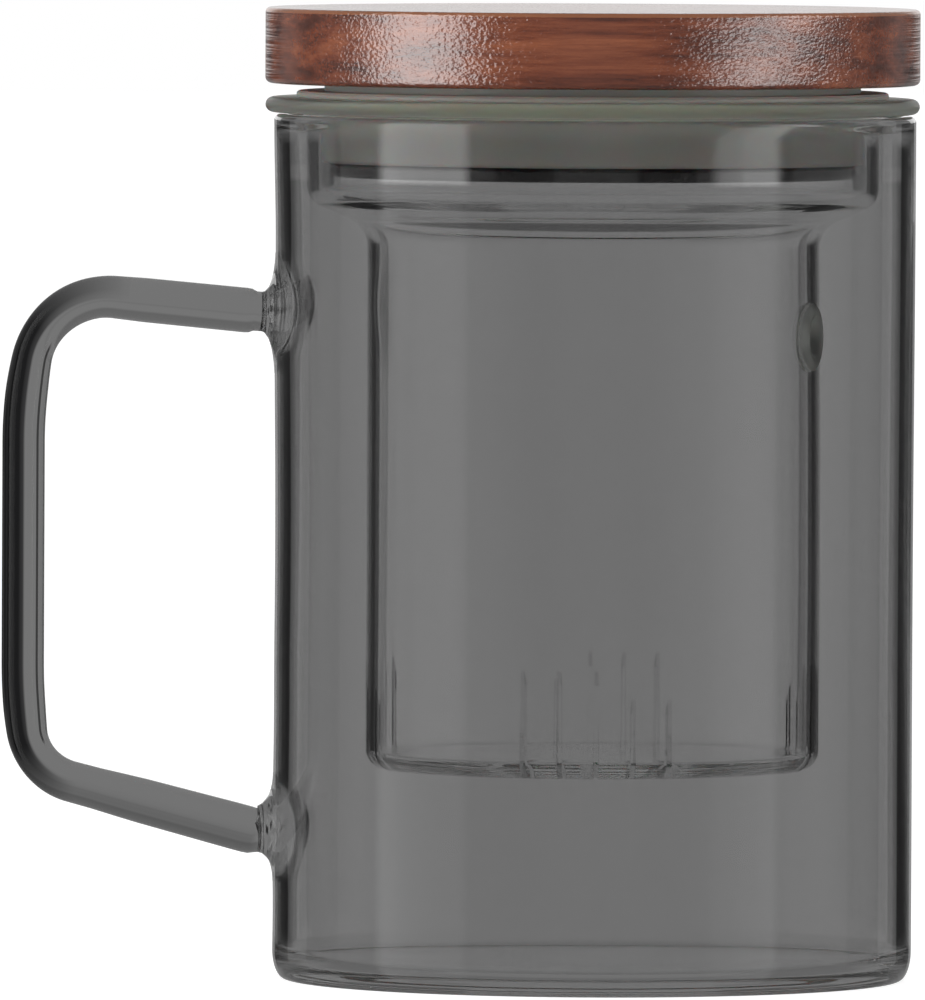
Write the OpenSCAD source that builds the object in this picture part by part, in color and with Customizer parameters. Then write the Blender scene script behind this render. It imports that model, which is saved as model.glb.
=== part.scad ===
// Glass tea mug with a lift-out glass infuser and a plugged wooden lid.
// Millimetres. +Z is up, the origin is on the mug's axis in the plane it stands on,
// and the handle points along -X.

/* [Mug] */
// Outer diameter of the glass mug
mug_d = 85; // [75:1:102]
// Height of the mug's rim
mug_h = 114.5; // [95:0.5:140]
// Thickness of the mug's wall
mug_wall = 2.2; // [1.8:0.1:3]
// Thickness of the mug's floor
mug_floor = 2.2; // [1.6:0.1:5]
// Outer radius of the bottom corner
mug_corner = 3.2; // [2.6:0.1:8]
// Inner radius between the wall and the floor
mug_fillet = 2.5; // [1.5:0.5:6]

/* [Handle] */
// Diameter of the glass rod
rod_d = 5.7; // [5:0.1:7]
// Distance from the mug's wall to the middle of the grip
grip_reach = 33; // [27:0.5:40]
// Height from the upper arm's root up to the rim
upper_drop = 26.3; // [20:0.1:32]
// Slope of the upper arm, rising outwards, in degrees
upper_slope = 5.4; // [0:0.1:12]
// Middle radius of the upper bend
upper_bend = 9.8; // [8:0.1:14]
// Middle radius of the long ease from the upper bend into the grip
upper_ease = 60; // [20:1:100]
// Share of the upper bend's turn that its ease takes, in degrees
upper_ease_turn = 10.5; // [2:0.1:16]
// Height of the lower arm's root above the base
lower_z = 18.9; // [15:0.1:24]
// Slope of the lower arm, rising outwards, in degrees
lower_slope = 15.5; // [5:0.1:22]
// Middle radius of the lower bend
lower_bend = 8.1; // [7:0.1:12]
// Middle radius of the long ease from the lower bend into the grip
lower_ease = 75; // [20:1:100]
// Share of the lower bend's turn that its ease takes, in degrees
lower_ease_turn = 7; // [2:0.1:12]
// Reach of the welded gather from the arm's axis, where its flare runs out
gather_r = 11; // [8:0.5:14]
// Height of the gather off the wall, where the rod grows out of it
gather_h = 1.9; // [1.2:0.1:3]
// Depth of the pinch between the rod and its gather
pinch_depth = 0.25; // [0.1:0.05:0.5]
// Radius of the rod's edge at the pinch
rod_round = 0.6; // [0.4:0.05:1]

/* [Infuser] */
// Overhang of the flange past the mug's wall
flange_over = 0.8; // [0.2:0.1:2]
// Thickness of the rolled flange
flange_t = 2; // [1.7:0.1:3]
// Gap between the mug's inner wall and the infuser's cup
cup_gap = 2.4; // [1.5:0.1:4]
// Thickness of the infuser's glass
infuser_wall = 1.7; // [1.4:0.1:2.2]
// Outer radius of the cup's bottom corner
cup_corner = 3; // [2.4:0.1:5]
// Slope of the shoulder under the cup, in degrees
shoulder_slope = 24; // [10:1:35]
// Step from the cup's wall in to the tube's wall
shoulder_step = 7.9; // [6.5:0.1:10]
// Radius of the neck where the shoulder turns down into the tube
neck_r = 4; // [3:0.1:5]
// Room under the infuser, above the mug's floor
foot_gap = 25.7; // [15:0.1:40]
// Outer radius of the tube's bottom corner
tube_corner = 2.7; // [2.3:0.1:4]

/* [Slits] */
// Number of slit groups round the tube
slit_groups = 4; // [2:1:5]
// Slits in one group
slits_per_group = 5; // [3:1:6]
// Long slits in one group, the rest are short
long_slits = 3; // [1:1:5]
// Angle between the slits of one group, in degrees
slit_pitch = 9.3; // [7:0.1:11.2]
// Turn of the first group's middle slit away from the front, in degrees
slit_turn = 0.6; // [-20:0.1:20]
// Width of a slit
slit_w = 0.6; // [0.4:0.05:1]
// Height of a long slit above the tube's bottom
long_slit_h = 14.3; // [11:0.1:18]
// Height of a short slit above the tube's bottom
short_slit_h = 10; // [6:0.1:12]
// Diameter of the saw disc that cuts the slits
saw_d = 40; // [38:1:60]

/* [Overflow hole] */
// Height of the hole below the flange
vent_drop = 29.5; // [22:0.1:40]
// Angle of the hole round the tube, from +X, in degrees
vent_angle = -16.5; // [-60:0.5:60]
// Radius of the ring on which the rolled lip is centred
vent_ring = 3.45; // [2.8:0.05:4.5]
// Thickness of the rolled lip beyond that of the tube's wall
lip_over = 0.7; // [0.6:0.05:1.2]

/* [Lid] */
// Overhang of the wooden disc past the flange
lid_over = 0.1; // [-1:0.1:2]
// Thickness of the disc
lid_t = 10; // [6:0.5:16]
// Radius of the disc's upper edge
lid_top_round = 1; // [0.4:0.1:2.5]
// Radius of the disc's lower edge
lid_low_round = 0.8; // [0.3:0.1:2]
// Height of the retaining bead at the plug's foot
bead_h = 2; // [1.7:0.1:3]
// Radius of the bead's edges
bead_round = 0.7; // [0.3:0.1:0.8]
// Height from the cup's bottom corner up to the plug's foot
plug_gap = 0.9; // [0.5:0.1:3]

/* [Seal] */
// Length of the seal below the flange's top
seal_depth = 8.7; // [6:0.1:12]
// Thickness of the silicone sleeve in the cup
sleeve_t = 2.4; // [2:0.1:3.2]
// Radius of the sleeve's lower edge
sleeve_round = 0.6; // [0.3:0.1:1]
// Step from the sleeve in to the silicone neck under the disc
neck_step = 0.5; // [0.2:0.1:1]
// Reach of the fin past the cup's inner wall
fin_reach = 3; // [2:0.1:4]
// Thickness of the fin
fin_t = 0.9; // [0.6:0.05:1.4]
// Gap between the fin and the wooden disc
fin_gap = 1; // [0.6:0.1:2]

/* [Clearances] */
// Gap between the flange and the mug's rim
rim_clear = 0.1; // [0.05:0.01:0.2]
// Gap between the seal and the infuser's glass
seal_clear = 0.2; // [0.1:0.01:0.3]
// Gap between the seal's fin and the flange
fin_clear = 0.1; // [0.05:0.01:0.2]
// Step from the sleeve's outside in to the plug's bead
bead_step = 1.2; // [0.8:0.1:1.5]

/* [Hidden] */
$fn = 96;

mug_r = mug_d / 2;
mug_inner_r = mug_r - mug_wall;
rim_round = mug_wall / 2;

// The infuser hangs on the rim and stands clear of the floor.
seat_z = mug_h + rim_clear;
flange_top = seat_z + flange_t;
flange_r = mug_r + flange_over;
flange_round = flange_t / 2;
flange_fillet = cup_gap / 2;
cup_r = mug_inner_r - cup_gap;
mouth_r = cup_r - infuser_wall;
mouth_round = infuser_wall / 2;
tube_r = cup_r - shoulder_step;
tube_foot = mug_floor + foot_gap;

// The plug, its seal and the disc stack up from the flange.
sleeve_r = mouth_r - seal_clear;
groove_r = sleeve_r - sleeve_t;
bead_r = sleeve_r - bead_step;
seal_foot = flange_top - seal_depth;
plug_foot = seal_foot - bead_h;
fin_foot = flange_top + fin_clear;
fin_round = fin_t / 2;
lid_foot = fin_foot + fin_t + fin_gap;
lid_r = flange_r + lid_over;

// The cup's corner leads into the sloping shoulder, and the neck's arc touches the shoulder's
// underside and the tube's wall.
shoulder_down = [sin(shoulder_slope), -cos(shoulder_slope)];
cup_bend = [cup_r - cup_corner, plug_foot - plug_gap];
shoulder_start = cup_bend + cup_corner * shoulder_down;
shoulder_run = shoulder_start[0] - tube_r - neck_r * (1 - sin(shoulder_slope));
neck_bend = [
    tube_r + neck_r,
    shoulder_start[1] - shoulder_run * tan(shoulder_slope) - neck_r * cos(shoulder_slope)
];

// The saw's middle lies outside the wall, where its chord along the wall is as high as a long slit.
saw_r = saw_d / 2;
saw_out = sqrt(saw_r * saw_r - long_slit_h * long_slit_h);

// The lip's ring is centred in the glass, where the curved wall falls away beside the hole.
vent_z = seat_z - vent_drop;
vent_mid_r = tube_r - infuser_wall / 2 - vent_ring * vent_ring / (2 * tube_r);
vent_lip = infuser_wall + lip_over;

// The handle is laid out in its own plane, x outwards and y up, and is then stood on the wall.
rod_r = rod_d / 2;
waist_r = rod_r - pinch_depth;
grip_x = mug_r + grip_reach;
upper_root = [mug_r, mug_h - upper_drop];
lower_root = [mug_r, lower_z];
upper_turn = 90 + upper_slope;
lower_turn = lower_slope - 90;
upper_arc = bend_middle(upper_root, upper_turn, upper_bend, upper_ease, upper_ease_turn);
lower_arc = bend_middle(lower_root, lower_turn, lower_bend, lower_ease, -lower_ease_turn);
upper_ease_arc = upper_arc - polar(upper_ease - upper_bend, upper_ease_turn);
lower_ease_arc = lower_arc - polar(lower_ease - lower_bend, -lower_ease_turn);
// The rod draws out a hair thinner in its eases and again in its bends, and each run closes over
// the end of the next by the lap.
bend_thin = 0.02;
rod_lap = 0.2;
// Past the gather's reach the curved wall has fallen away by this much, and a little more.
gather_sink = 1.05 * (mug_r - sqrt(mug_r * mug_r - gather_r * gather_r));

function polar(r, a) = [r * cos(a), r * sin(a)];

// Middle of the bend that touches its arm's line and leads into an ease that touches the grip. The
// bend's far end is turned from the grip's by the angle turn.
function bend_middle(root, turn, bend, ease, ease_turn) =
    let (x = grip_x - ease + (ease - bend) * cos(ease_turn))
    [x, root[1] - (bend + (x - root[0]) * cos(turn)) / sin(turn)];

// Half section of a round-edged disc, from the axis out to r.
module disc_section(r, z0, z1, low_round, top_round) {
    translate([0, z0]) square([r - low_round, low_round]);
    translate([0, z0 + low_round]) square([r, z1 - z0 - low_round - top_round]);
    translate([0, z1 - top_round]) square([r - top_round, top_round]);
    translate([r - low_round, z0 + low_round]) circle(r = low_round);
    translate([r - top_round, z1 - top_round]) circle(r = top_round);
}

module mug_body() {
    color([0.42, 0.42, 0.42, 0.6])
    rotate_extrude()
    difference() {
        union() {
            square([mug_r - mug_corner, mug_corner]);
            translate([0, mug_corner]) square([mug_r, mug_h - rim_round - mug_corner]);
            translate([mug_r - mug_corner, mug_corner]) circle(r = mug_corner);
            translate([mug_r - rim_round, mug_h - rim_round]) circle(r = rim_round);
        }
        translate([0, mug_floor + mug_fillet]) square([mug_inner_r, mug_h]);
        translate([0, mug_floor]) square([mug_inner_r - mug_fillet, mug_h]);
        translate([mug_inner_r - mug_fillet, mug_floor + mug_fillet]) circle(r = mug_fillet);
    }
}

// Turns a half section, drawn with its axis upwards, about the line from point a at an angle.
module turned(a, angle) {
    translate([a[0], a[1], 0])
    rotate([0, 0, angle])
    rotate([0, 90, 0])
    rotate_extrude()
    children();
}

module rod_arc(middle, radius, from, to, thinned) {
    translate([middle[0], middle[1], 0])
    rotate([0, 0, min(from, to)])
    rotate_extrude(angle = abs(to - from))
    translate([radius, 0])
    circle(r = rod_r - thinned);
}

// A bend from its arm's end to its ease, and the ease from there to the grip. The bend's thinner rod
// runs into the ease's.
module bend(middle, radius, turn, ease_middle, ease, ease_turn) {
    lap_turn = sign(turn) * rod_lap / radius * 180 / PI;
    rod_arc(middle, radius, ease_turn - lap_turn, turn, 2 * bend_thin);
    rod_arc(ease_middle, ease, 0, ease_turn, bend_thin);
}

// Concave gather of glass on the wall. Its lowest edge runs under the wall's surface.
module gather(root) {
    run = gather_r - waist_r + 0.1;
    rise = gather_h + gather_sink;
    flare = (run * run + rise * rise) / (2 * rise);
    turned(root, 0)
    difference() {
        translate([0, -gather_sink]) square([gather_r, rise]);
        translate([gather_r, flare - gather_sink]) circle(r = flare);
    }
}

// One arm: its gather, the pinched waist, and the rod from there into its bend.
module arm(root, slope, bend_point) {
    pinch = gather_h / cos(slope);
    run = norm(bend_point - root) + rod_lap;
    gather(root);
    turned(root, slope)
    union() {
        square([waist_r, pinch + rod_round]);
        translate([0, pinch]) square([rod_r - rod_round, rod_round]);
        translate([rod_r - rod_round, pinch + rod_round]) circle(r = rod_round);
        translate([0, pinch + rod_round]) square([rod_r, run - pinch - rod_round]);
    }
}

module handle() {
    grip_foot = [grip_x, lower_ease_arc[1] - rod_lap];
    color([0.5, 0.5, 0.5, 0.6])
    difference() {
        mirror([1, 0, 0])
        rotate([90, 0, 0])
        union() {
            arm(upper_root, upper_slope, upper_arc + polar(upper_bend, upper_turn));
            bend(upper_arc, upper_bend, upper_turn, upper_ease_arc, upper_ease, upper_ease_turn);
            turned(grip_foot, 90)
                square([rod_r, upper_ease_arc[1] - lower_ease_arc[1] + 2 * rod_lap]);
            bend(lower_arc, lower_bend, lower_turn, lower_ease_arc, lower_ease, -lower_ease_turn);
            arm(lower_root, lower_slope, lower_arc + polar(lower_bend, lower_turn));
        }
        cylinder(h = mug_h, r = mug_r);
    }
}

// Half section of everything that lies deeper than inset below the infuser's outer surface.
module infuser_section(inset) {
    from_neck = neck_r + inset;
    difference() {
        union() {
            translate([0, cup_bend[1]]) square([cup_r - inset, flange_top - cup_bend[1]]);
            translate(cup_bend) circle(r = cup_corner - inset);
            polygon([
                [0, cup_bend[1]],
                cup_bend,
                cup_bend + (cup_corner - inset) * shoulder_down,
                neck_bend - from_neck * shoulder_down,
                neck_bend - [from_neck, 0],
                [0, neck_bend[1]]
            ]);
            translate([0, tube_foot + tube_corner])
                square([tube_r - inset, neck_bend[1] - tube_foot - tube_corner]);
            translate([0, tube_foot + inset]) square([tube_r - tube_corner, tube_corner]);
            translate([tube_r - tube_corner, tube_foot + tube_corner]) circle(r = tube_corner - inset);
        }
        translate(neck_bend) circle(r = from_neck);
    }
}

module flange_section() {
    translate([mouth_r + mouth_round, seat_z])
        square([flange_r - flange_round - mouth_r - mouth_round, flange_t]);
    translate([flange_r - flange_round, seat_z + flange_round]) circle(r = flange_round);
    translate([mouth_r + mouth_round, flange_top - mouth_round]) circle(r = mouth_round);
    // Fillet between the cup's wall and the underside of the flange.
    difference() {
        translate([cup_r - mouth_round, seat_z - flange_fillet])
            square([flange_fillet + mouth_round, 1.5 * flange_fillet]);
        translate([cup_r + flange_fillet, seat_z - flange_fillet]) circle(r = flange_fillet);
    }
}

module slit(angle, height) {
    rotate([0, 0, angle])
    translate([tube_r + saw_out, 0, tube_foot + height - long_slit_h])
    rotate([90, 0, 0])
    cylinder(h = slit_w, d = saw_d, center = true);
}

module slits() {
    middle = (slits_per_group - 1) / 2;
    for (group = [0 : slit_groups - 1], i = [0 : slits_per_group - 1])
        slit(slit_turn - 90 + group * 360 / slit_groups + (i - middle) * slit_pitch,
             i < long_slits ? long_slit_h : short_slit_h);
}

// Places its children at the overflow hole, with +Z pointing out of the tube.
module at_vent() {
    rotate([0, 0, vent_angle])
    translate([vent_mid_r, 0, vent_z])
    rotate([0, 90, 0])
    children();
}

module infuser() {
    color([0.85, 0.87, 0.86, 0.35])
    union() {
        difference() {
            rotate_extrude()
            union() {
                difference() {
                    infuser_section(0);
                    infuser_section(infuser_wall);
                    translate([0, flange_top - mouth_round])
                        square([mouth_r + mouth_round, infuser_wall]);
                }
                flange_section();
            }
            slits();
            at_vent() cylinder(h = 3 * infuser_wall, r = vent_ring, center = true);
        }
        at_vent() rotate_extrude() translate([vent_ring, 0]) circle(d = vent_lip);
    }
}

module lid() {
    color([0.45, 0.27, 0.2])
    rotate_extrude()
    union() {
        disc_section(lid_r, lid_foot, lid_foot + lid_t, lid_low_round, lid_top_round);
        translate([0, seal_foot]) square([groove_r, lid_foot - seal_foot]);
        disc_section(bead_r, plug_foot, seal_foot, bead_round, bead_round);
    }
}

module lid_seal() {
    fin_r = mouth_r + fin_reach;
    color([0.8, 0.8, 0.78, 0.8])
    rotate_extrude()
    union() {
        translate([groove_r, seal_foot]) square([sleeve_t - sleeve_round, sleeve_round]);
        translate([sleeve_r - sleeve_round, seal_foot + sleeve_round]) circle(r = sleeve_round);
        translate([groove_r, seal_foot + sleeve_round])
            square([sleeve_t, seat_z - seal_foot - sleeve_round]);
        translate([groove_r, seat_z]) square([sleeve_t - neck_step, lid_foot - seat_z]);
        translate([groove_r, fin_foot]) square([fin_r - fin_round - groove_r, fin_t]);
        translate([fin_r - fin_round, fin_foot + fin_round]) circle(r = fin_round);
    }
}

mug_body();
handle();
infuser();
lid();
lid_seal();
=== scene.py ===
import math
import bpy
from mathutils import Matrix, Vector


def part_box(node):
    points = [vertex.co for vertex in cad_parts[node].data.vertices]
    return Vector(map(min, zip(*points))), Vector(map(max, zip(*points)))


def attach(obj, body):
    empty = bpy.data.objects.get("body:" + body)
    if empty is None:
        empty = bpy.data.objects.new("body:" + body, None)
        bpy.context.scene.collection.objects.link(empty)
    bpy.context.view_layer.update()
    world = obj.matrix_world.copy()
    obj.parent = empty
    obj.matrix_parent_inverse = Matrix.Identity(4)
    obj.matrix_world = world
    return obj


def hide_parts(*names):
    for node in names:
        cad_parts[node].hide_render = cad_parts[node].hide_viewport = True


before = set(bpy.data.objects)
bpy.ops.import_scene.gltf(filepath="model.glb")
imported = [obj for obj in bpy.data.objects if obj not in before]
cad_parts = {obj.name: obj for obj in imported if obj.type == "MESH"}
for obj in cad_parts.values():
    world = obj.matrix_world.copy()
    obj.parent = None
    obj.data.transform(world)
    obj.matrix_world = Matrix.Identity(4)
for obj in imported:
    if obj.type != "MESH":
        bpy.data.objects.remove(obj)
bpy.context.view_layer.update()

# The mug is a straight cylinder of smoke-grey borosilicate glass. Its rim is fire-polished into a low
# bead, and the hot ends of the handle have pressed its wall in a little. All sizes are in millimetres.
MM = 0.001


def cad_size(node):
    """The lowest and the highest corner of a CAD piece, to a tenth of a millimetre."""
    return [[round(c / MM, 1) for c in corner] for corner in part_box(node)]


mug_high = cad_size("mug_body")[1]
mug_outer, mug_height = mug_high[0], mug_high[2]
mug_wall, mug_floor, mug_fillet, rim_round = 2.2, 2.2, 2.5, 0.8
mug_inner = mug_outer - mug_wall
corner_in, corner_up = 1.7, 4.0
mug_taper = 0.13
# Each of these swells has its middle in height, its reach up and down, and its depth.
mug_waist, rim_bead = (55, 50, 0.08), (113.8, 1.7, 0.25)
drawn_in = [(60, 40, 0.22), (98, 16, 0.24), (32, 14, 0.1), (9, 11, 0.12)]
weld_heights, weld_up, weld_round, weld_depth = (89.1, 19.8), 6.8, 16.5, 0.8


def share(x, reach):
    """How much of a reach x has covered, from 0 to 1."""
    return max(0.0, min(1.0, x / reach))


def swell(x, middle, reach, height=1.0):
    """A smooth rise and fall, at its height in the middle and 0 past the reach."""
    return height * math.cos(share(abs(x - middle), reach) * math.pi / 2) ** 2


def arc(cx, cz, radius, start, end, pieces=10):
    """Points of an arc in a half section, from angle start to end in degrees."""
    turns = [math.radians(start + (end - start) * i / pieces) for i in range(pieces + 1)]
    return [(cx + radius * math.cos(a), cz + radius * math.sin(a)) for a in turns]


def run(start, end, step):
    """Points between two corners of a half section, both left out."""
    pieces = max(1, round(math.dist(start, end) / step))
    return [tuple(start[k] + (end[k] - start[k]) * i / pieces for k in (0, 1)) for i in range(1, pieces)]


def joined(corners, step=2.5):
    """A half section from corners and arcs, with its long straights divided."""
    flat = [p for c in corners for p in (c if isinstance(c, list) else [c])]
    section = []
    for a, b in zip(flat, flat[1:]):
        section += [a, *run(a, b, step)]
    return section + [flat[-1]]


def as_mesh(name, points, faces, smooth_below=32):
    """A closed shell from points in millimetres, smooth but for its sharp edges."""
    mesh = bpy.data.meshes.new(name)
    mesh.from_pydata([tuple(c * MM for c in p) for p in points], [], faces)
    mesh.validate()
    mesh.shade_smooth()
    mesh.set_sharp_from_angle(angle=math.radians(smooth_below))
    piece = bpy.data.objects.new(name, mesh)
    bpy.context.scene.collection.objects.link(piece)
    return piece


def turned(name, section, steps, stray):
    """Turns a half section, drawn from the axis outwards and back, about the mug's axis. Each point
    strays from its true place, outwards and to the right."""
    points, faces, rings = [], [], []
    for r, z in section:
        if r < 1e-6:
            rings.append([len(points)])
            points.append((0.0, 0.0, z))
            continue
        rings.append(range(len(points), len(points) + steps))
        for i in range(steps):
            a = 2 * math.pi * i / steps
            out, right = stray(r, z, a)
            points.append(((r + out) * math.cos(a) + right, (r + out) * math.sin(a), z))
    hollow = section[0][0] > 1e-6
    for low, high in zip(rings, rings[1:] + rings[:1] if hollow else rings[1:]):
        for i in range(steps):
            j = (i + 1) % steps
            quad = [low[i % len(low)], low[j % len(low)], high[j % len(high)], high[i % len(high)]]
            faces.append(list(dict.fromkeys(quad)))
    return as_mesh(name, points, [f for f in faces if len(f) > 2])


def mug_radius(z, a):
    """The wall's outer radius: a hair narrower lower down, and drawn in a little beside the handle."""
    handle_side = max(0.0, -math.cos(a)) ** 6
    slim = mug_taper * (1 - z / mug_height)
    dip = sum(swell(z, *place) for place in drawn_in)
    return mug_outer - slim - swell(z, *mug_waist) - handle_side * dip


def mug_stray(r, z, a):
    """The glass's wander, which fades towards the floor's middle. The inside also sways, is thicker by
    the handle, and stands in at the welds and at the rim's bead."""
    outside = (mug_radius(z, a) - mug_outer) * share(r, 38)
    if z < mug_floor - 0.1 or r > mug_outer - rim_round - 0.2:
        return outside, 0.0
    sway = 0.05 * math.sin(2 * a + 0.7 + z / 40) + 0.03 * math.sin(3 * a - z / 23)
    thick = 0.12 * max(0.0, -math.cos(a)) * share(mug_height - z, 20)
    from_handle = mug_inner * math.remainder(a - math.pi, 2 * math.pi)
    pressed = sum(swell(z, weld, weld_up) for weld in weld_heights)
    pressed *= swell(from_handle, 0, weld_round, weld_depth)
    inside = sway * min(share(mug_height - z, 12), share(r, 30)) - thick * share(r, 38)
    return outside + inside - swell(z, *rim_bead) - pressed, 0.0


foot_turns = [math.radians(90 * i / 28) for i in range(29)]
bead_foot = rim_bead[0] - rim_bead[1]
mug_section = joined([
    (0.0, 0.0),
    [(mug_outer - corner_in * (1 - math.sin(t)), corner_up * (1 - math.cos(t))) for t in foot_turns],
    arc(mug_outer - rim_round, mug_height - rim_round, rim_round, 0, 90, 12),
    arc(mug_inner + rim_round, mug_height - rim_round, rim_round, 90, 180, 12),
    run((mug_inner, mug_height - rim_round), (mug_inner, bead_foot), 0.2),
    *(run((mug_inner, weld + weld_up), (mug_inner, weld - weld_up), 0.5) for weld in weld_heights),
    arc(mug_inner - mug_fillet, mug_floor + mug_fillet, mug_fillet, 0, -90, 16),
    (0.0, mug_floor),
])
mug = turned("mug_glass", mug_section, 480, mug_stray)


class Wire:
    """A socket of a shader tree. Arithmetic and comparisons on wires add Math nodes."""

    def __init__(self, tree, out=None):
        self.tree, self.out = tree, out

    def node(self, kind, settings, sockets, output=0):
        """Adds a node: its settings or its ramp's stops first, then the values and links it takes."""
        made = self.tree.nodes.new(kind)
        for key, value in settings.items():
            if key != "stops":
                setattr(made, key, value)
                continue
            marks = made.color_ramp.elements
            while len(marks) < len(value):
                marks.new(0.5)
            for mark, (place, shade) in zip(marks, value):
                mark.position, mark.color = place, shade
        for key, value in sockets.items():
            if isinstance(value, Wire):
                self.tree.links.new(value.out, made.inputs[key])
            else:
                made.inputs[key].default_value = value
        return Wire(self.tree, made.outputs[output])

    def into(self, socket):
        self.tree.links.new(self.out, socket)

    def maths(self, operation, *values):
        return self.node("ShaderNodeMath", {"operation": operation}, dict(enumerate(values)))

    def __add__(self, other):
        return self.maths("ADD", self, other)

    def __sub__(self, other):
        return self.maths("SUBTRACT", self, other)

    def __rsub__(self, other):
        return self.maths("SUBTRACT", other, self)

    def __mul__(self, other):
        return self.maths("MULTIPLY", self, other)

    def __gt__(self, other):
        return self.maths("GREATER_THAN", self, other)

    def __lt__(self, other):
        return self.maths("LESS_THAN", self, other)

    def __abs__(self):
        return self.maths("ABSOLUTE", self)

    __radd__, __rmul__ = __add__, __mul__


def colour(shade):
    """A full colour from a grey or from red, green and blue."""
    return (*shade, 1) if isinstance(shade, tuple) else (shade, shade, shade, 1)


def ramp(pen, value, *stops):
    """A colour that follows a value through stops of place and shade."""
    stops = [(place, colour(shade)) for place, shade in stops]
    return pen.node("ShaderNodeValToRGB", {"stops": stops}, {"Fac": value})


def mixed(pen, mask, off, on):
    """One shade where a mask is 0, another where it is 1. A shade is a wire or a plain shade."""
    off, on = (shade if isinstance(shade, Wire) else colour(shade) for shade in (off, on))
    return pen.node("ShaderNodeMix", {"data_type": "RGBA"}, {"Factor": mask, 6: off, 7: on}, 2)


def on_piece(pen):
    """The place on the piece, in metres."""
    return pen.node("ShaderNodeTexCoord", {}, {}, "Object")


def axis(pen, place, name):
    return pen.node("ShaderNodeSeparateXYZ", {}, {"Vector": place}, name)


def noise(pen, place, scale, detail, roughness=0.5):
    """Soft random patches."""
    sockets = {"Vector": place, "Scale": scale, "Detail": detail, "Roughness": roughness}
    return pen.node("ShaderNodeTexNoise", {}, sockets)


def bumps(pen, height, strength, distance):
    return pen.node("ShaderNodeBump", {}, {"Height": height, "Strength": strength, "Distance": distance})


def finish_named(name, **constants):
    """A new material, a wire to draw with, and the sockets of its shader."""
    material = bpy.data.materials.new(name)
    material.use_nodes = True
    shader = material.node_tree.nodes["Principled BSDF"].inputs
    for key, value in constants.items():
        shader[key.replace("_", " ")].default_value = value
    return material, Wire(material.node_tree), shader


def polished_glass(name, waviness, gloss):
    """Fire-polished glass with faint waves. Its tint is left to the piece."""
    material, pen, shader = finish_named(
        name, Roughness=0.0, IOR=1.47, Transmission_Weight=1.0, Specular_Tint=colour(gloss),
        Coat_Roughness=0.04, Coat_Weight=0.0
    )
    bumps(pen, noise(pen, on_piece(pen), 38.0, 1.0), waviness, 0.001).into(shader["Normal"])
    return material, pen, shader


def smoky_mug_glass():
    """Glass whose smoke lies in its outside faces, with a brighter gloss in a band below the rim."""
    material, pen, shader = polished_glass("smoke_glass", 0.015, 0.06)
    here = on_piece(pen)
    smoke = ramp(pen, noise(pen, here, 9.0, 2.0), (0.3, 0.156), (0.7, 0.162))
    x, y, height = (axis(pen, here, name) for name in "XYZ")
    radius = pen.maths("SQRT", x * x + y * y)
    mid_wall, mid_floor = (mug_inner + mug_outer) / 2 * MM, mug_floor / 2 * MM
    outside = pen.maths("MAXIMUM", radius > mid_wall, height < mid_floor)
    mixed(pen, outside, 1.0, smoke).into(shader["Base Color"])
    band_foot, band_height = 105 * MM, 10 * MM
    ramp(
        pen, (height - band_foot) * (1 / band_height) * outside,
        (0.08, 0.0), (0.15, 0.8), (0.27, 0.8), (0.33, 0.4), (0.9, 0.4), (0.97, 0.0)
    ).into(shader["Coat Weight"])
    return material


mug.data.materials.append(smoky_mug_glass())
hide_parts("mug_body")
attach(mug, "mug")

# The handle is one solid drawn rod of the same smoke-grey glass, bent twice into a D. Each end is
# pressed hot onto the wall, where it pinches in and spreads into a thin, rippled gather.
grip_out, mid_grip, rod_radius, bend_thins = 75.5, 55, 2.82, 0.2
waist_out, waist_length, upper_waist, lower_waist = 2.3, 1.1, 2.58, 3.05
# Each bend is thinned round one height, within a reach, by a share. The arms grow stouter in two steps:
# how far in from the grip each begins, over what reach, and by how much.
upper_thin, lower_thin = (84.5, 8, 1.0), (29.5, 7, 0.9)
first_step, second_step = (10, 6), (16, 12)
upper_stout, lower_stout = (0.13, 0.03), (0.17, 0.13)
upper_root, upper_slope, upper_bend, upper_ease, upper_ease_turn = 88.1, 5.4, 10.3, 60.0, 10.5
lower_root, lower_slope, lower_bend, lower_ease, lower_ease_turn = 18.77, 14.9, 8.1, 75.0, 7.0
# Height off the wall and radius, from the margin to the waist
upper_gather = [
    (0.02, 8.0), (0.04, 7.6), (0.07, 7.1), (0.12, 6.5), (0.2, 5.8), (0.3, 5.15), (0.45, 4.5), (0.6, 4.0),
    (0.8, 3.5), (1.05, 3.08), (1.35, 2.8), (1.7, 2.64)
]
lower_gather = [
    (0.02, 7.2), (0.04, 6.6), (0.08, 6.1), (0.15, 5.6), (0.29, 4.95), (0.45, 4.5), (0.65, 4.1), (1.0, 3.7),
    (1.35, 3.4), (1.7, 3.2), (2.0, 3.08)
]
lower_gather_up, lower_gather_slope = 20.0, -9.0
footprint_off_wall, footprint = 0.012, (0.5, 2.0, 4.0, 6.0, 7.0)
# The grip's outer half is painted dark as shade, which begins this far out at each bend and is full after
# a reach. The painted streak of shade on the lower arm has its tone, the height it begins below and its
# reach, and its place round the rod.
upper_painted_shade, lower_painted_shade = (62, 11), (68.5, 6)
painted_streak, painted_streak_round = (0.33, 40, 10), (0.35, 0.36)
smoky_at = 0.1


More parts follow.
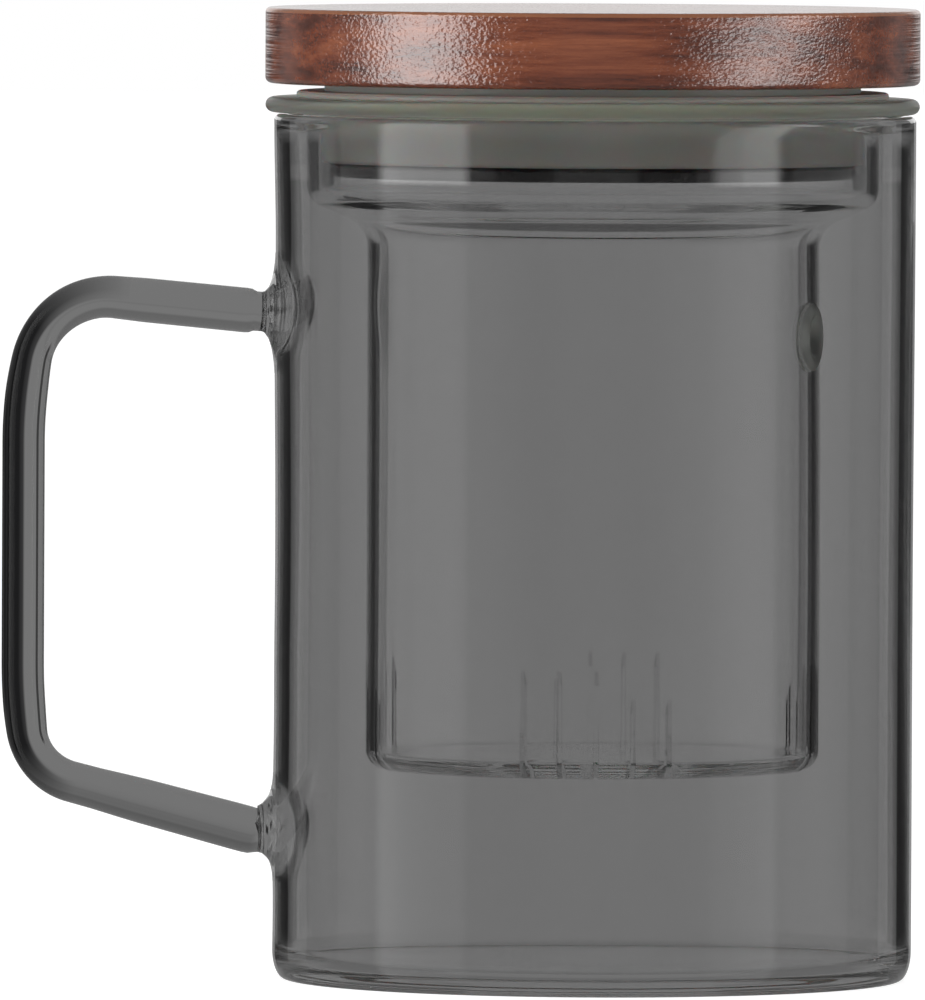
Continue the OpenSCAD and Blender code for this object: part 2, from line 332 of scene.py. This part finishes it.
def bend_line(root, turn, bend, ease, ease_turn):
    """Half of the rod's middle line: its arm, its bend, and the long ease to the grip, in points
    out and up with the direction that faces out of the D. Turns are in radians."""
    out = grip_out - ease + (ease - bend) * math.cos(ease_turn)
    middle = (out, root - (bend + (out - mug_outer) * math.cos(turn)) / math.sin(turn))
    far = (middle[0] - (ease - bend) * math.cos(ease_turn), middle[1] - (ease - bend) * math.sin(ease_turn))
    arm_start = (waist_out + 0.1) / math.sin(abs(turn))
    slope = (math.sin(abs(turn)), -math.cos(turn) * math.copysign(1, turn))
    start = (mug_outer + arm_start * slope[0], root + arm_start * slope[1])
    end = (middle[0] + bend * math.cos(turn), middle[1] + bend * math.sin(turn))
    line = [(*(start[k] + (end[k] - start[k]) * i / 30 for k in (0, 1)), turn) for i in range(30)]
    for i in range(37):
        a = turn + (ease_turn - turn) * i / 36
        line.append((middle[0] + bend * math.cos(a), middle[1] + bend * math.sin(a), a))
    for i in range(1, 13):
        a = ease_turn * (1 - i / 12)
        line.append((far[0] + ease * math.cos(a), far[1] + ease * math.sin(a), a))
    return line


def handle_line():
    """The rod's whole middle line, from the upper weld round the grip to the lower one."""
    upper_turn, lower_turn = math.radians(90 + upper_slope), math.radians(lower_slope - 90)
    upper = bend_line(upper_root, upper_turn, upper_bend, upper_ease, math.radians(upper_ease_turn))
    lower = bend_line(lower_root, lower_turn, lower_bend, lower_ease, -math.radians(lower_ease_turn))
    top, low = upper[-1][1], lower[-1][1]
    grip = [(grip_out, top + (low - top) * i / 24, 0.0) for i in range(1, 24)]
    return upper + grip + lower[::-1]


def rod_gauge(out, up):
    """The drawn rod's radius: thinner where it was bent, stouter in the arms, pinched at the waist."""
    in_arm, near_wall = (share(grip_out - gap - out, reach) for gap, reach in (first_step, second_step))
    waist, thin, stout = upper_waist, upper_thin, upper_stout
    if up <= mid_grip:
        waist, thin, stout = lower_waist, lower_thin, lower_stout
    thinned = bend_thins * swell(up, *thin) * (1 - in_arm)
    full = rod_radius - thinned + (stout[0] * in_arm + stout[1] * near_wall)
    return waist + (full - waist) * math.sin(share(out - mug_outer - waist_out, waist_length) * math.pi / 2)


def rod_smoke_and_painted_shade(out, up, a):
    """How dark the rod is: smoky all over, with painted shade on its outer half at the grip, fading round
    both bends, and in a faint painted streak along the lower arm."""
    dark_from, dark_reach = upper_painted_shade if up > mid_grip else lower_painted_shade
    fade = share(out - dark_from, dark_reach)
    tone, streak_top, streak_reach = painted_streak
    streaked = tone * share(streak_top - up, streak_reach) * (1 - fade) * swell(math.sin(a), *painted_streak_round)
    outer_half = math.sin(a) > (0.05 if math.cos(a) > 0 else -0.05)
    return smoky_at + (1 - smoky_at) * (fade * outer_half + streaked)


def handle_rings(sides=64):
    """Rings of points along the handle, from the middle of one footprint to that of the other, and how
    dark the glass is at each, from its smoke and from painted shade. The gathers are smoky, a little paler
    at their thin margins, and clear where they lie on the wall."""
    turns = [2 * math.pi * i / sides for i in range(sides)]

    def on_wall(root, slope, off_wall, radius):
        ring, lift = [], root + off_wall * math.tan(math.radians(slope))
        for a in turns:
            round_wall, up = radius * math.cos(a) / mug_outer, lift + radius * math.sin(a)
            out = mug_radius(up, math.pi) + off_wall
            ring.append((-out * math.cos(round_wall), out * math.sin(round_wall), up))
        return ring

    def gathered(root, slope, profile):
        spread = [(footprint_off_wall, radius, 0.0) for radius in footprint]
        for off_wall, radius in profile:
            ripple = 0.06 * math.sin(off_wall * 13) * max(0.0, 1 - abs(off_wall - 1.1))
            spread.append((off_wall, radius + ripple, smoky_at * min(1.0, 0.65 + off_wall * 1.2)))
        return [(on_wall(root, slope, off, radius), [tone] * sides) for off, radius, tone in spread]

    rows = gathered(upper_root, upper_slope, upper_gather)
    for out, up, face in handle_line():
        radius = rod_gauge(out, up)
        ring = []
        for a in turns:
            side, outward = radius * math.cos(a), radius * math.sin(a)
            ring.append((-(out + outward * math.cos(face)), side, up + outward * math.sin(face)))
        rows.append((ring, [rod_smoke_and_painted_shade(out, up, a) for a in turns]))
    for ring, tones in reversed(gathered(lower_gather_up, lower_gather_slope, lower_gather)):
        rows.append(([ring[-i % sides] for i in range(sides)], tones))
    return zip(*rows)


def ring_faces(count, sides, closed=False):
    """Faces that join each ring of points to the next. The last ring is joined to the first, or else
    both of them are filled."""
    faces = [] if closed else [list(range(sides)), [count * sides - 1 - i for i in range(sides)]]
    for k in range(count if closed else count - 1):
        a, b = k * sides, (k + 1) % count * sides
        faces += [[a + i, b + i, b + (i + 1) % sides, a + (i + 1) % sides] for i in range(sides)]
    return faces


def strung(name, rings, closed=False):
    """A closed shell strung over rings of points."""
    points = [p for ring in rings for p in ring]
    return as_mesh(name, points, ring_faces(len(rings), len(rings[0]), closed), smooth_below=40)


def rod_glass_with_painted_shade():
    """Glass as dark as the handle's tones say: clear, smoky, or nearly black where shade is painted in."""
    material, pen, shader = polished_glass("handle_glass", 0.015, 0.03)
    tone = pen.node("ShaderNodeAttribute", {"attribute_name": "dark_side"}, {}, "Fac")
    # The nearly black end of this ramp is painted shade, on the grip's outer half and in the lower arm's
    # streak.
    ramp(pen, tone, (0.0, 0.95), (smoky_at, 0.165), (1.0, (0.012, 0.012, 0.0125))).into(shader["Base Color"])
    return material


rod_rings, rod_tones = handle_rings()
handle = strung("handle_rod", rod_rings)
# Each point keeps its smoke and its painted shade.
dark_side = handle.data.attributes.new("dark_side", "FLOAT", "POINT")
dark_side.data.foreach_set("value", [tone for tones in rod_tones for tone in tones])
handle.data.materials.append(rod_glass_with_painted_shade())
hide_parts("handle")
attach(handle, "mug")

# The infuser is one piece of blown clear glass. A rolled flange hangs it on the mug's rim, a cup
# takes the lid's plug, and a straight tube holds the leaves. Saw cuts round its bottom corner and
# one fire-polished hole let the water through.
infuser_low, infuser_high = cad_size("infuser")
tube_foot, flange_top = infuser_low[2], infuser_high[2]
rim_gap = 0.1
seat = mug_height + rim_gap
infuser_wall, floor_extra = 1.7, 0.4
flange_outer, flange_round, flange_lift, seat_fillet, mouth_round = 43.3, 1.0, 1.15, 1.2, 0.85
cup_outer, cup_mouth, cup_bend, cup_corner = 37.9, 36.2, (34.9, 105.0), 3.0
neck_bend, neck_round, shoulder = (34.0, 96.94), 4.0, 66.0
tube_outer, tube_corner, tube_fillet = 30.0, 2.7, 0.55
infuser_section = joined([
    (0.0, tube_foot),
    arc(tube_outer - tube_corner, tube_foot + tube_corner, tube_corner, -90, 0, 18),
    arc(*neck_bend, neck_round, 180, 180 - shoulder, 16),
    arc(*cup_bend, cup_corner, -shoulder, 0, 16),
    arc(cup_outer + seat_fillet, seat - seat_fillet, seat_fillet, 180, 90, 10),
    arc(flange_outer - flange_round, seat + flange_lift, flange_round, -90, 90, 20),
    arc(cup_mouth + mouth_round, flange_top - mouth_round, mouth_round, 90, 180, 12),
    arc(*cup_bend, cup_corner - infuser_wall, 0, -shoulder, 12),
    arc(*neck_bend, neck_round + infuser_wall, 180 - shoulder, 180, 18),
    arc(
        tube_outer - infuser_wall - tube_fillet, tube_foot + infuser_wall + floor_extra + tube_fillet,
        tube_fillet, 0, -90, 12
    ),
    (0.0, tube_foot + infuser_wall + floor_extra),
])


hang_off, hang_from, hang_full = 0.36, 55, 115


def hang(z):
    """How far the infuser and the lid hang off the middle, towards the handle."""
    return -hang_off * max(0.0, (z - hang_from) / (hang_full - hang_from))


def infuser_stray(r, z, a):
    """The tube's own faint wander, with none in its floor or in the cup, and the hang."""
    fade = 0.0 if z > 95 or r < 20 else share(95 - z, 20)
    return fade * (0.06 * math.sin(2 * a + z / 30) + 0.03 * math.sin(5 * a - z / 17)), hang(z)


def clear_infuser_glass():
    """Clear glass, with a greyer and softer flange where it is thick."""
    material, pen, shader = polished_glass("clear_glass", 0.02, 0.06)
    flange = pen.node("ShaderNodeMapRange", {}, {
        "Value": axis(pen, on_piece(pen), "Z"), "From Min": (seat - 0.4) * MM, "From Max": flange_top * MM,
        "To Min": 0.0, "To Max": 1.0,
    })
    ramp(
        pen, flange,
        (0.0, 1.0), (0.2, (0.78, 0.79, 0.71)), (0.6, (0.57, 0.58, 0.52)), (1.0, (0.42, 0.43, 0.39))
    ).into(shader["Base Color"])
    pen.maths("MINIMUM", flange * 2.0, 0.4).into(shader["Roughness"])
    return material


def sawn_glass():
    """The slits' cut faces, tinted grey as painted shade along the slits. They bend no light, so that the
    slits stay open to it.
    """
    # The cut faces' grey is painted shade for the dark lines along the slits.
    material, pen, shader = finish_named(
        "sawn_glass", Base_Color=colour(0.68), Roughness=0.02, IOR=1.0, Transmission_Weight=1.0
    )
    (0.01 + noise(pen, on_piece(pen), 3000.0, 2.0) * 0.04).into(shader["Roughness"])
    return material


def soft_lip_glass():
    """The hole's thick lip, which scatters the light that the wall lets through."""
    return finish_named(
        "lip_glass", Base_Color=(0.94, 0.96, 0.92, 1), Roughness=0.7, IOR=1.25, Transmission_Weight=1.0
    )[0]


def cut(piece, tool, finish, operation="DIFFERENCE"):
    """Cuts a tool out of a piece, or joins it on, and puts the tool away. The cut takes a finish."""
    tool.data.materials.append(finish)
    change = piece.modifiers.new("cut", "BOOLEAN")
    change.operation, change.object = operation, tool
    change.solver, change.material_mode = "EXACT", "TRANSFER"
    bpy.context.view_layer.update()
    result = bpy.data.meshes.new_from_object(piece.evaluated_get(bpy.context.evaluated_depsgraph_get()))
    piece.modifiers.clear()
    piece.data = result
    bpy.data.objects.remove(tool)


saw_radius, slit_tall, slit_short, slit_step, slit_turn = 20.0, 14.3, 10.6, 9.3, 0.6
# The saw wobbles, so a slit is a little wider at its mouth: radius of the disc and half its width.
saw_profile = [
    (12.0, -0.46), (17.0, -0.26), (saw_radius, -0.26), (saw_radius, 0.26), (17.0, 0.26), (12.0, 0.46)
]


def saw_disc(angle, slit_height, sides=96):
    """Points and faces of the disc that saws one slit, on edge outside the tube's bottom corner."""
    out = tube_outer + math.sqrt(saw_radius ** 2 - slit_tall ** 2)
    points = []
    for ring, side in saw_profile:
        for i in range(sides):
            a = 2 * math.pi * i / sides
            x, z = out + ring * math.cos(a), tube_foot + slit_height - slit_tall + ring * math.sin(a)
            points.append((
                x * math.cos(angle) - side * math.sin(angle),
                x * math.sin(angle) + side * math.cos(angle),
                z,
            ))
    return points, ring_faces(len(saw_profile), sides)


def all_saw_discs():
    """Four groups of five slits, three of them tall and two short."""
    points, faces = [], []
    for group in range(4):
        for i in range(5):
            angle = math.radians(slit_turn - 90 + group * 90 + (i - 2) * slit_step)
            disc_points, disc_faces = saw_disc(angle, slit_tall if i < 3 else slit_short)
            faces += [[len(points) + v for v in face] for face in disc_faces]
            points += disc_points
    return as_mesh("saw_discs", points, faces)


hole_height, hole_angle, hole_ring, lip_round, hole_reach = 85.45, math.radians(-16.5), 3.5, 1.35, 3
# The lip's ring lies in the middle of the wall, which curves away from it at both sides.
hole_out = tube_outer - infuser_wall / 2 - hole_ring ** 2 / (2 * tube_outer)


def hole_rings(profile, sides=72):
    """Rings about the overflow hole's own axis, from distances along it and radii."""
    rings = []
    for along, radius in profile:
        rings.append([])
        for i in range(sides):
            a = 2 * math.pi * i / sides
            out, side = hole_out + along, radius * math.cos(a)
            rings[-1].append((
                out * math.cos(hole_angle) - side * math.sin(hole_angle),
                out * math.sin(hole_angle) + side * math.cos(hole_angle),
                hole_height + radius * math.sin(a),
            ))
    return rings


infuser = turned("infuser_basket", infuser_section, 480, infuser_stray)
infuser.data.materials.append(clear_infuser_glass())
cut(infuser, all_saw_discs(), sawn_glass())
lip_turns = [-2 * math.pi * i / 24 for i in range(24)]
lip = [(lip_round * math.sin(t), hole_ring - lip_round * math.cos(t)) for t in lip_turns]
soft_lip = soft_lip_glass()
bore = [(hole_reach, hole_ring), (-hole_reach, hole_ring)]
cut(infuser, strung("hole_cut", hole_rings(bore)), soft_lip)
cut(infuser, strung("hole_lip", hole_rings(lip), closed=True), soft_lip, "UNION")
infuser.data.shade_smooth()
infuser.data.set_sharp_from_angle(angle=math.radians(38))
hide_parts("infuser")
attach(infuser, "infuser")

# The lid is turned from one blank of reddish-brown wood: a disc, a plug below it, and a groove in
# the plug for the seal. It is stained and lacquered, and the lacquer has dried a little pebbly.
lid_low, lid_high = cad_size("lid")
seal_low, seal_high = cad_size("lid_seal")
lid_top, lid_foot = lid_high[2], seal_high[2]
plug_foot, seal_foot = lid_low[2] + 0.4, seal_low[2] + 0.3
lid_radius, foot_round, top_round = 43.34, 0.8, 0.6
groove_radius, plug_radius, plug_round = 33.6, 34.8, 0.7
lid_section = joined([
    (0.0, plug_foot),
    arc(plug_radius - plug_round, plug_foot + plug_round, plug_round, -90, 0, 8),
    arc(plug_radius - plug_round, seal_foot - plug_round, plug_round, 0, 90, 8),
    (groove_radius, seal_foot),
    (groove_radius, lid_foot),
    arc(lid_radius - foot_round, lid_foot + foot_round, foot_round, -90, 0, 10),
    arc(lid_radius - top_round, lid_top - top_round, top_round, 0, 90, 12),
    (0.0, lid_top),
], 4.0)


def lid_stray(r, z, a):
    """The lid and its seal stay true, and hang as the infuser's cup does."""
    return 0.0, hang(hang_full)


def stretched(pen, place, scale, rotation=(0.0, 0.0, 0.0)):
    return pen.node("ShaderNodeMapping", {}, {"Vector": place, "Rotation": rotation, "Scale": scale})


def lacquered_wood():
    """Figure and pores under stain, a plug of dark wood with the shade inside the cup painted in, a top edge
    painted lighter as a highlight, and a lacquer that is pebbly on the long grain and shows the lathe's
    lines at the two ends."""
    material, pen, shader = finish_named(
        "lacquered_wood", Roughness=0.3, IOR=1.5, Specular_IOR_Level=0.85,
        Coat_Weight=0.3, Coat_Roughness=0.25, Coat_IOR=1.5
    )
    here = on_piece(pen)
    warp = noise(pen, here, 30.0, 2.0)
    figure = noise(pen, stretched(pen, here, (9.0, 60.0, 150.0), (0.05, 0.03, 0.12)), 2.2, 6.0, 0.65)
    pores = noise(pen, stretched(pen, here, (26.0, 420.0, 900.0)), 2.4, 4.0, 0.7)
    stain = ramp(
        pen, figure * 0.75 + pores * 0.25 + warp * 0.06,
        (0.34, (0.020, 0.005, 0.002)), (0.45, (0.070, 0.014, 0.005)),
        (0.56, (0.150, 0.034, 0.012)), (0.72, (0.28, 0.080, 0.030))
    )
    height = axis(pen, here, "Z")
    # Painted highlight: the round top edge is painted a lighter wood where it catches the light.
    top_edge_painted_highlight = (height > (lid_top - 0.55) * MM) * (height < (lid_top - 0.05) * MM) * 0.7
    # The plug is painted near black: dark wood, with the shade inside the cup painted in.
    plug_dark_wood_and_shade = height < (lid_foot - 0.2) * MM
    tone = mixed(pen, top_edge_painted_highlight, stain, (0.30, 0.105, 0.04))
    mixed(pen, plug_dark_wood_and_shade, tone, (0.016, 0.013, 0.012)).into(shader["Base Color"])
    pebbles = noise(pen, stretched(pen, here, (0.55, 0.8, 1.0)), 2600.0, 1.0)
    lathe_lines = noise(pen, stretched(pen, here, (12.0, 12.0, 3400.0)), 1.0, 1.0)
    ends = pen.node("ShaderNodeMapRange", {}, {
        "Value": abs(axis(pen, here, "X")), "From Min": 36 * MM, "From Max": 41 * MM,
    })
    relief = pebbles * (1 - ends) * 0.8 + pores * 0.2 + lathe_lines * ends * 1.2
    bumps(pen, relief, 0.6, 0.0003).into(shader["Normal"])
    (0.12 + pores * 0.15).into(shader["Roughness"])
    return material


lid = turned("wooden_lid", lid_section, 360, lid_stray)
lid.data.materials.append(lacquered_wood())
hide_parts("lid")
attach(lid, "lid")

# The seal is one ring of translucent silicone in the plug's groove. Its sleeve grips the cup's
# wall, and a thin fin above it lies on the infuser's flange.
seal_inner, seal_top = groove_radius + 0.02, lid_foot - 0.01
sleeve_radius, sleeve_round, fin_neck = 36.0, 0.6, 35.5
fin_radius, fin_middle, fin_round = 39.2, 117.15, 0.45
fin_low, fin_high = fin_middle - fin_round, fin_middle + fin_round
seal_section = joined([
    (seal_inner, seal_foot + 0.01),
    arc(sleeve_radius - sleeve_round, seal_foot + sleeve_round, sleeve_round, -90, 0, 8),
    (sleeve_radius, seat),
    (fin_neck, seat + 0.1),
    (fin_neck, fin_low),
    arc(fin_radius - fin_round, fin_middle, fin_round, -90, 90, 14),
    (fin_neck, fin_high),
    (fin_neck, seal_top),
    (seal_inner, seal_top),
], 3.0)


def cloudy_silicone():
    """Cloudy, with a fin painted grey as the shade in the gap under the lid, but for its upper edge, which
    catches the light.
    """
    material, pen, shader = finish_named(
        "silicone", Base_Color=(0.42, 0.41, 0.38, 1), Roughness=0.45,
        Subsurface_Weight=0.6, Subsurface_Scale=0.002
    )
    here = on_piece(pen)
    cloud = noise(pen, here, 60.0, 3.0)
    cloudy = ramp(pen, cloud, (0.3, (0.48, 0.47, 0.44)), (0.7, (0.56, 0.55, 0.52)))
    height = axis(pen, here, "Z")
    # The fin's darker grey is painted shade from the gap between the lid and the flange.
    fin_painted_shade = mixed(pen, height > (fin_high - 0.15) * MM, (0.26, 0.255, 0.24), (0.56, 0.54, 0.50))
    mixed(pen, height > (fin_low - 0.05) * MM, cloudy, fin_painted_shade).into(shader["Base Color"])
    (0.38 + cloud * 0.2).into(shader["Roughness"])
    return material


lid_seal = turned("seal_ring", seal_section, 360, lid_stray)
lid_seal.data.materials.append(cloudy_silicone())
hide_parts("lid_seal")
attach(lid_seal, "lid")

# The floor is pale and plain, and keeps the mug's shadow. Two soft boxes light the mug from the front
# left and the front right.
floor_reach = 6000
box_tall, box_away, box_up, box_aim = 1300, 1200, 350, 60


def ray(pen, kind):
    """What kind of ray is asking, or how often it has been bent or thrown back."""
    return pen.node("ShaderNodeLightPath", {}, {}, kind)


def pale_floor():
    """Pale in the room's light, and as white as the room where the eye falls on it, but for its shadow."""
    material, pen, shader = finish_named(
        "pale_floor", Roughness=0.9, Specular_IOR_Level=0.0, Emission_Strength=1.0
    )
    seen = ray(pen, "Is Camera Ray")
    mixed(pen, seen, 0.8, 0.5).into(shader["Base Color"])
    mixed(pen, seen, 0.0, 0.8).into(shader["Emission Color"])
    return material


def soft_box(name, bearing, width, power):
    """A tall soft box, turned to the mug. Its bearing is in degrees to the right of the viewer."""
    lamp = bpy.data.lights.new(name, "AREA")
    lamp.shape, lamp.size, lamp.size_y, lamp.energy = "RECTANGLE", width * MM, box_tall * MM, power
    stand = bpy.data.objects.new(name, lamp)
    a = math.radians(bearing)
    stand.location = (box_away * MM * math.sin(a), -box_away * MM * math.cos(a), box_up * MM)
    toward_mug = Vector((0, 0, box_aim * MM)) - stand.location
    stand.rotation_euler = toward_mug.to_track_quat("-Z", "Y").to_euler()
    stand.visible_glossy = stand.visible_transmission = False
    bpy.context.scene.collection.objects.link(stand)


floor_corners = [(x * floor_reach, y * floor_reach, 0) for x, y in ((-1, -1), (1, -1), (1, 1), (-1, 1))]
floor = as_mesh("floor", floor_corners, [[0, 1, 2, 3]])
floor.data.materials.append(pale_floor())
floor.visible_glossy = floor.visible_transmission = False
soft_box("soft_box_left", -62, 850, 9)
soft_box("soft_box_right", 53, 750, 7)

# The room is plain white. Glass also sees what a studio sets round it to draw its edges: dark flags at
# both sides of each quarter, a greyer floor and ceiling, and in its gloss the two tall soft boxes.
world = bpy.data.worlds.new("studio")
bpy.context.scene.world = world
world.use_nodes = True
pen = Wire(world.node_tree)
sky = world.node_tree.nodes["Background"].inputs
way = pen.node("ShaderNodeTexCoord", {}, {}, "Generated")
x, y, z = (axis(pen, way, name) for name in "XYZ")
rise = z * 0.5 + 0.5
off_quarter = pen.maths("PINGPONG", pen.maths("ARCTAN2", x, y), math.pi / 4) * (4 / math.pi)

# Through the thin walls: two flags side by side round level, and a greyer floor.
wall_flags = ramp(
    pen, off_quarter,
    (0.02, 1.0), (0.08, 1.12), (0.32, 1.15),
    (0.345, 0.17), (0.46, 0.17), (0.485, 0.08), (0.79, 0.08), (0.82, 1.0)
)
wall_level = ramp(pen, rise, (0.42, 0.0), (0.455, 1.0), (0.51, 1.0), (0.545, 0.0))
underfoot = ramp(pen, rise, (0.05, 1.0), (0.1, 0.78), (0.26, 0.78), (0.33, 1.0))
through_wall = (1 - wall_level * (1 - wall_flags)) * underfoot

# Through the solid rod, which bends light more: one narrow, taller flag, and a greyer ceiling.
rod_flags = ramp(pen, off_quarter, (0.58, 1.0), (0.61, 0.25), (0.73, 0.25), (0.76, 1.0))
rod_level = ramp(pen, rise, (0.36, 0.0), (0.4, 1.0), (0.58, 1.0), (0.62, 0.0))
overhead = ramp(
    pen, rise,
    (0.53, 1.0), (0.545, 0.9), (0.57, 1.02), (0.65, 1.02), (0.69, 0.72), (0.88, 0.78), (0.93, 1.0)
)
through_rod = (1 - rod_level * (1 - rod_flags)) * overhead
many_walls = (ray(pen, "Transmission Depth") + ray(pen, "Glossy Depth") * 3.0) > 2.5
through_glass = many_walls * through_wall + (1 - many_walls) * through_rod

# In the gloss: the soft boxes, by their bearing in degrees to the right of the viewer.
lean = pen.maths("MINIMUM", pen.maths("MAXIMUM", z, 0.0) * 0.6, 0.06)
bearing = pen.maths("ARCTAN2", x, y * -1.0) * (1 / (2 * math.pi)) + 0.5 - lean * (x > 0.0)
boxes = ramp(pen, bearing, *((0.5 + degrees / 360, shade) for degrees, shade in (
    (-86, 0.0), (-81, 1.0), (-49, 1.0), (-45, 0.0),
    (41, 0.0), (46, 0.6), (53, 0.75), (55, 1.0), (67, 1.0), (71, 0.0)
)))
box_glow = boxes * ramp(pen, rise, (0.2, 0.0), (0.35, 1.0), (0.75, 1.0), (0.85, 0.0))
behind = (y > 0.92) * (z > 0.0)
gloss = box_glow * 5.0 + behind * 0.75 + through_glass * 0.3
inner_glow = (ray(pen, "Glossy Depth") > 0.5) * box_glow
only_gloss = ray(pen, "Is Glossy Ray") * (1 - ray(pen, "Is Transmission Ray"))
seen_by_glass = only_gloss * gloss + (1 - only_gloss) * (through_glass + inner_glow)

# On plain surfaces: more from the left, and much more on those that are lit through the glass.
from_left = pen.maths("MAXIMUM", x * -1.0, 0.0) * 0.5 + 0.45
room_light = from_left + (ray(pen, "Transmission Depth") > 0.5) * (3.0 - x * 1.2)
on_plain, seen = ray(pen, "Diffuse Depth") > 0.5, ray(pen, "Is Camera Ray")
(on_plain * room_light + (1 - on_plain) * (seen + (1 - seen) * seen_by_glass)).into(sky["Strength"])
sky["Color"].default_value = (1, 1, 1, 1)

# The camera stands a long way off with a long lens, a little above the lid, and looks slightly down.
camera_right, camera_away, camera_up, aim_up, camera_roll = -17.34, 2800, 172, 63.4, 0.27
picture_rows, rows_per_mm, sensor = 1000, 7.55, 36.0
lens = bpy.data.cameras.new("camera")
camera = bpy.data.objects.new("camera", lens)
bpy.context.scene.collection.objects.link(camera)
bpy.context.scene.camera = camera
camera.location = (camera_right * MM, -camera_away * MM, camera_up * MM)
toward = Vector((camera_right * MM, 0.0, aim_up * MM)) - camera.location
camera.matrix_world = (
    Matrix.Translation(camera.location) @ toward.to_track_quat("-Z", "Y").to_matrix().to_4x4()
    @ Matrix.Rotation(math.radians(camera_roll), 4, "Z")
)
lens.sensor_fit, lens.sensor_height, lens.sensor_width = "VERTICAL", sensor, sensor
lens.lens = sensor * toward.length / MM / (picture_rows / rows_per_mm)
lens.clip_end = 50.0

bpy.context.scene.view_settings.view_transform = "Standard"
bpy.context.scene.cycles.max_bounces = 80
bpy.context.scene.cycles.transmission_bounces = 64
bpy.context.scene.cycles.glossy_bounces = 64
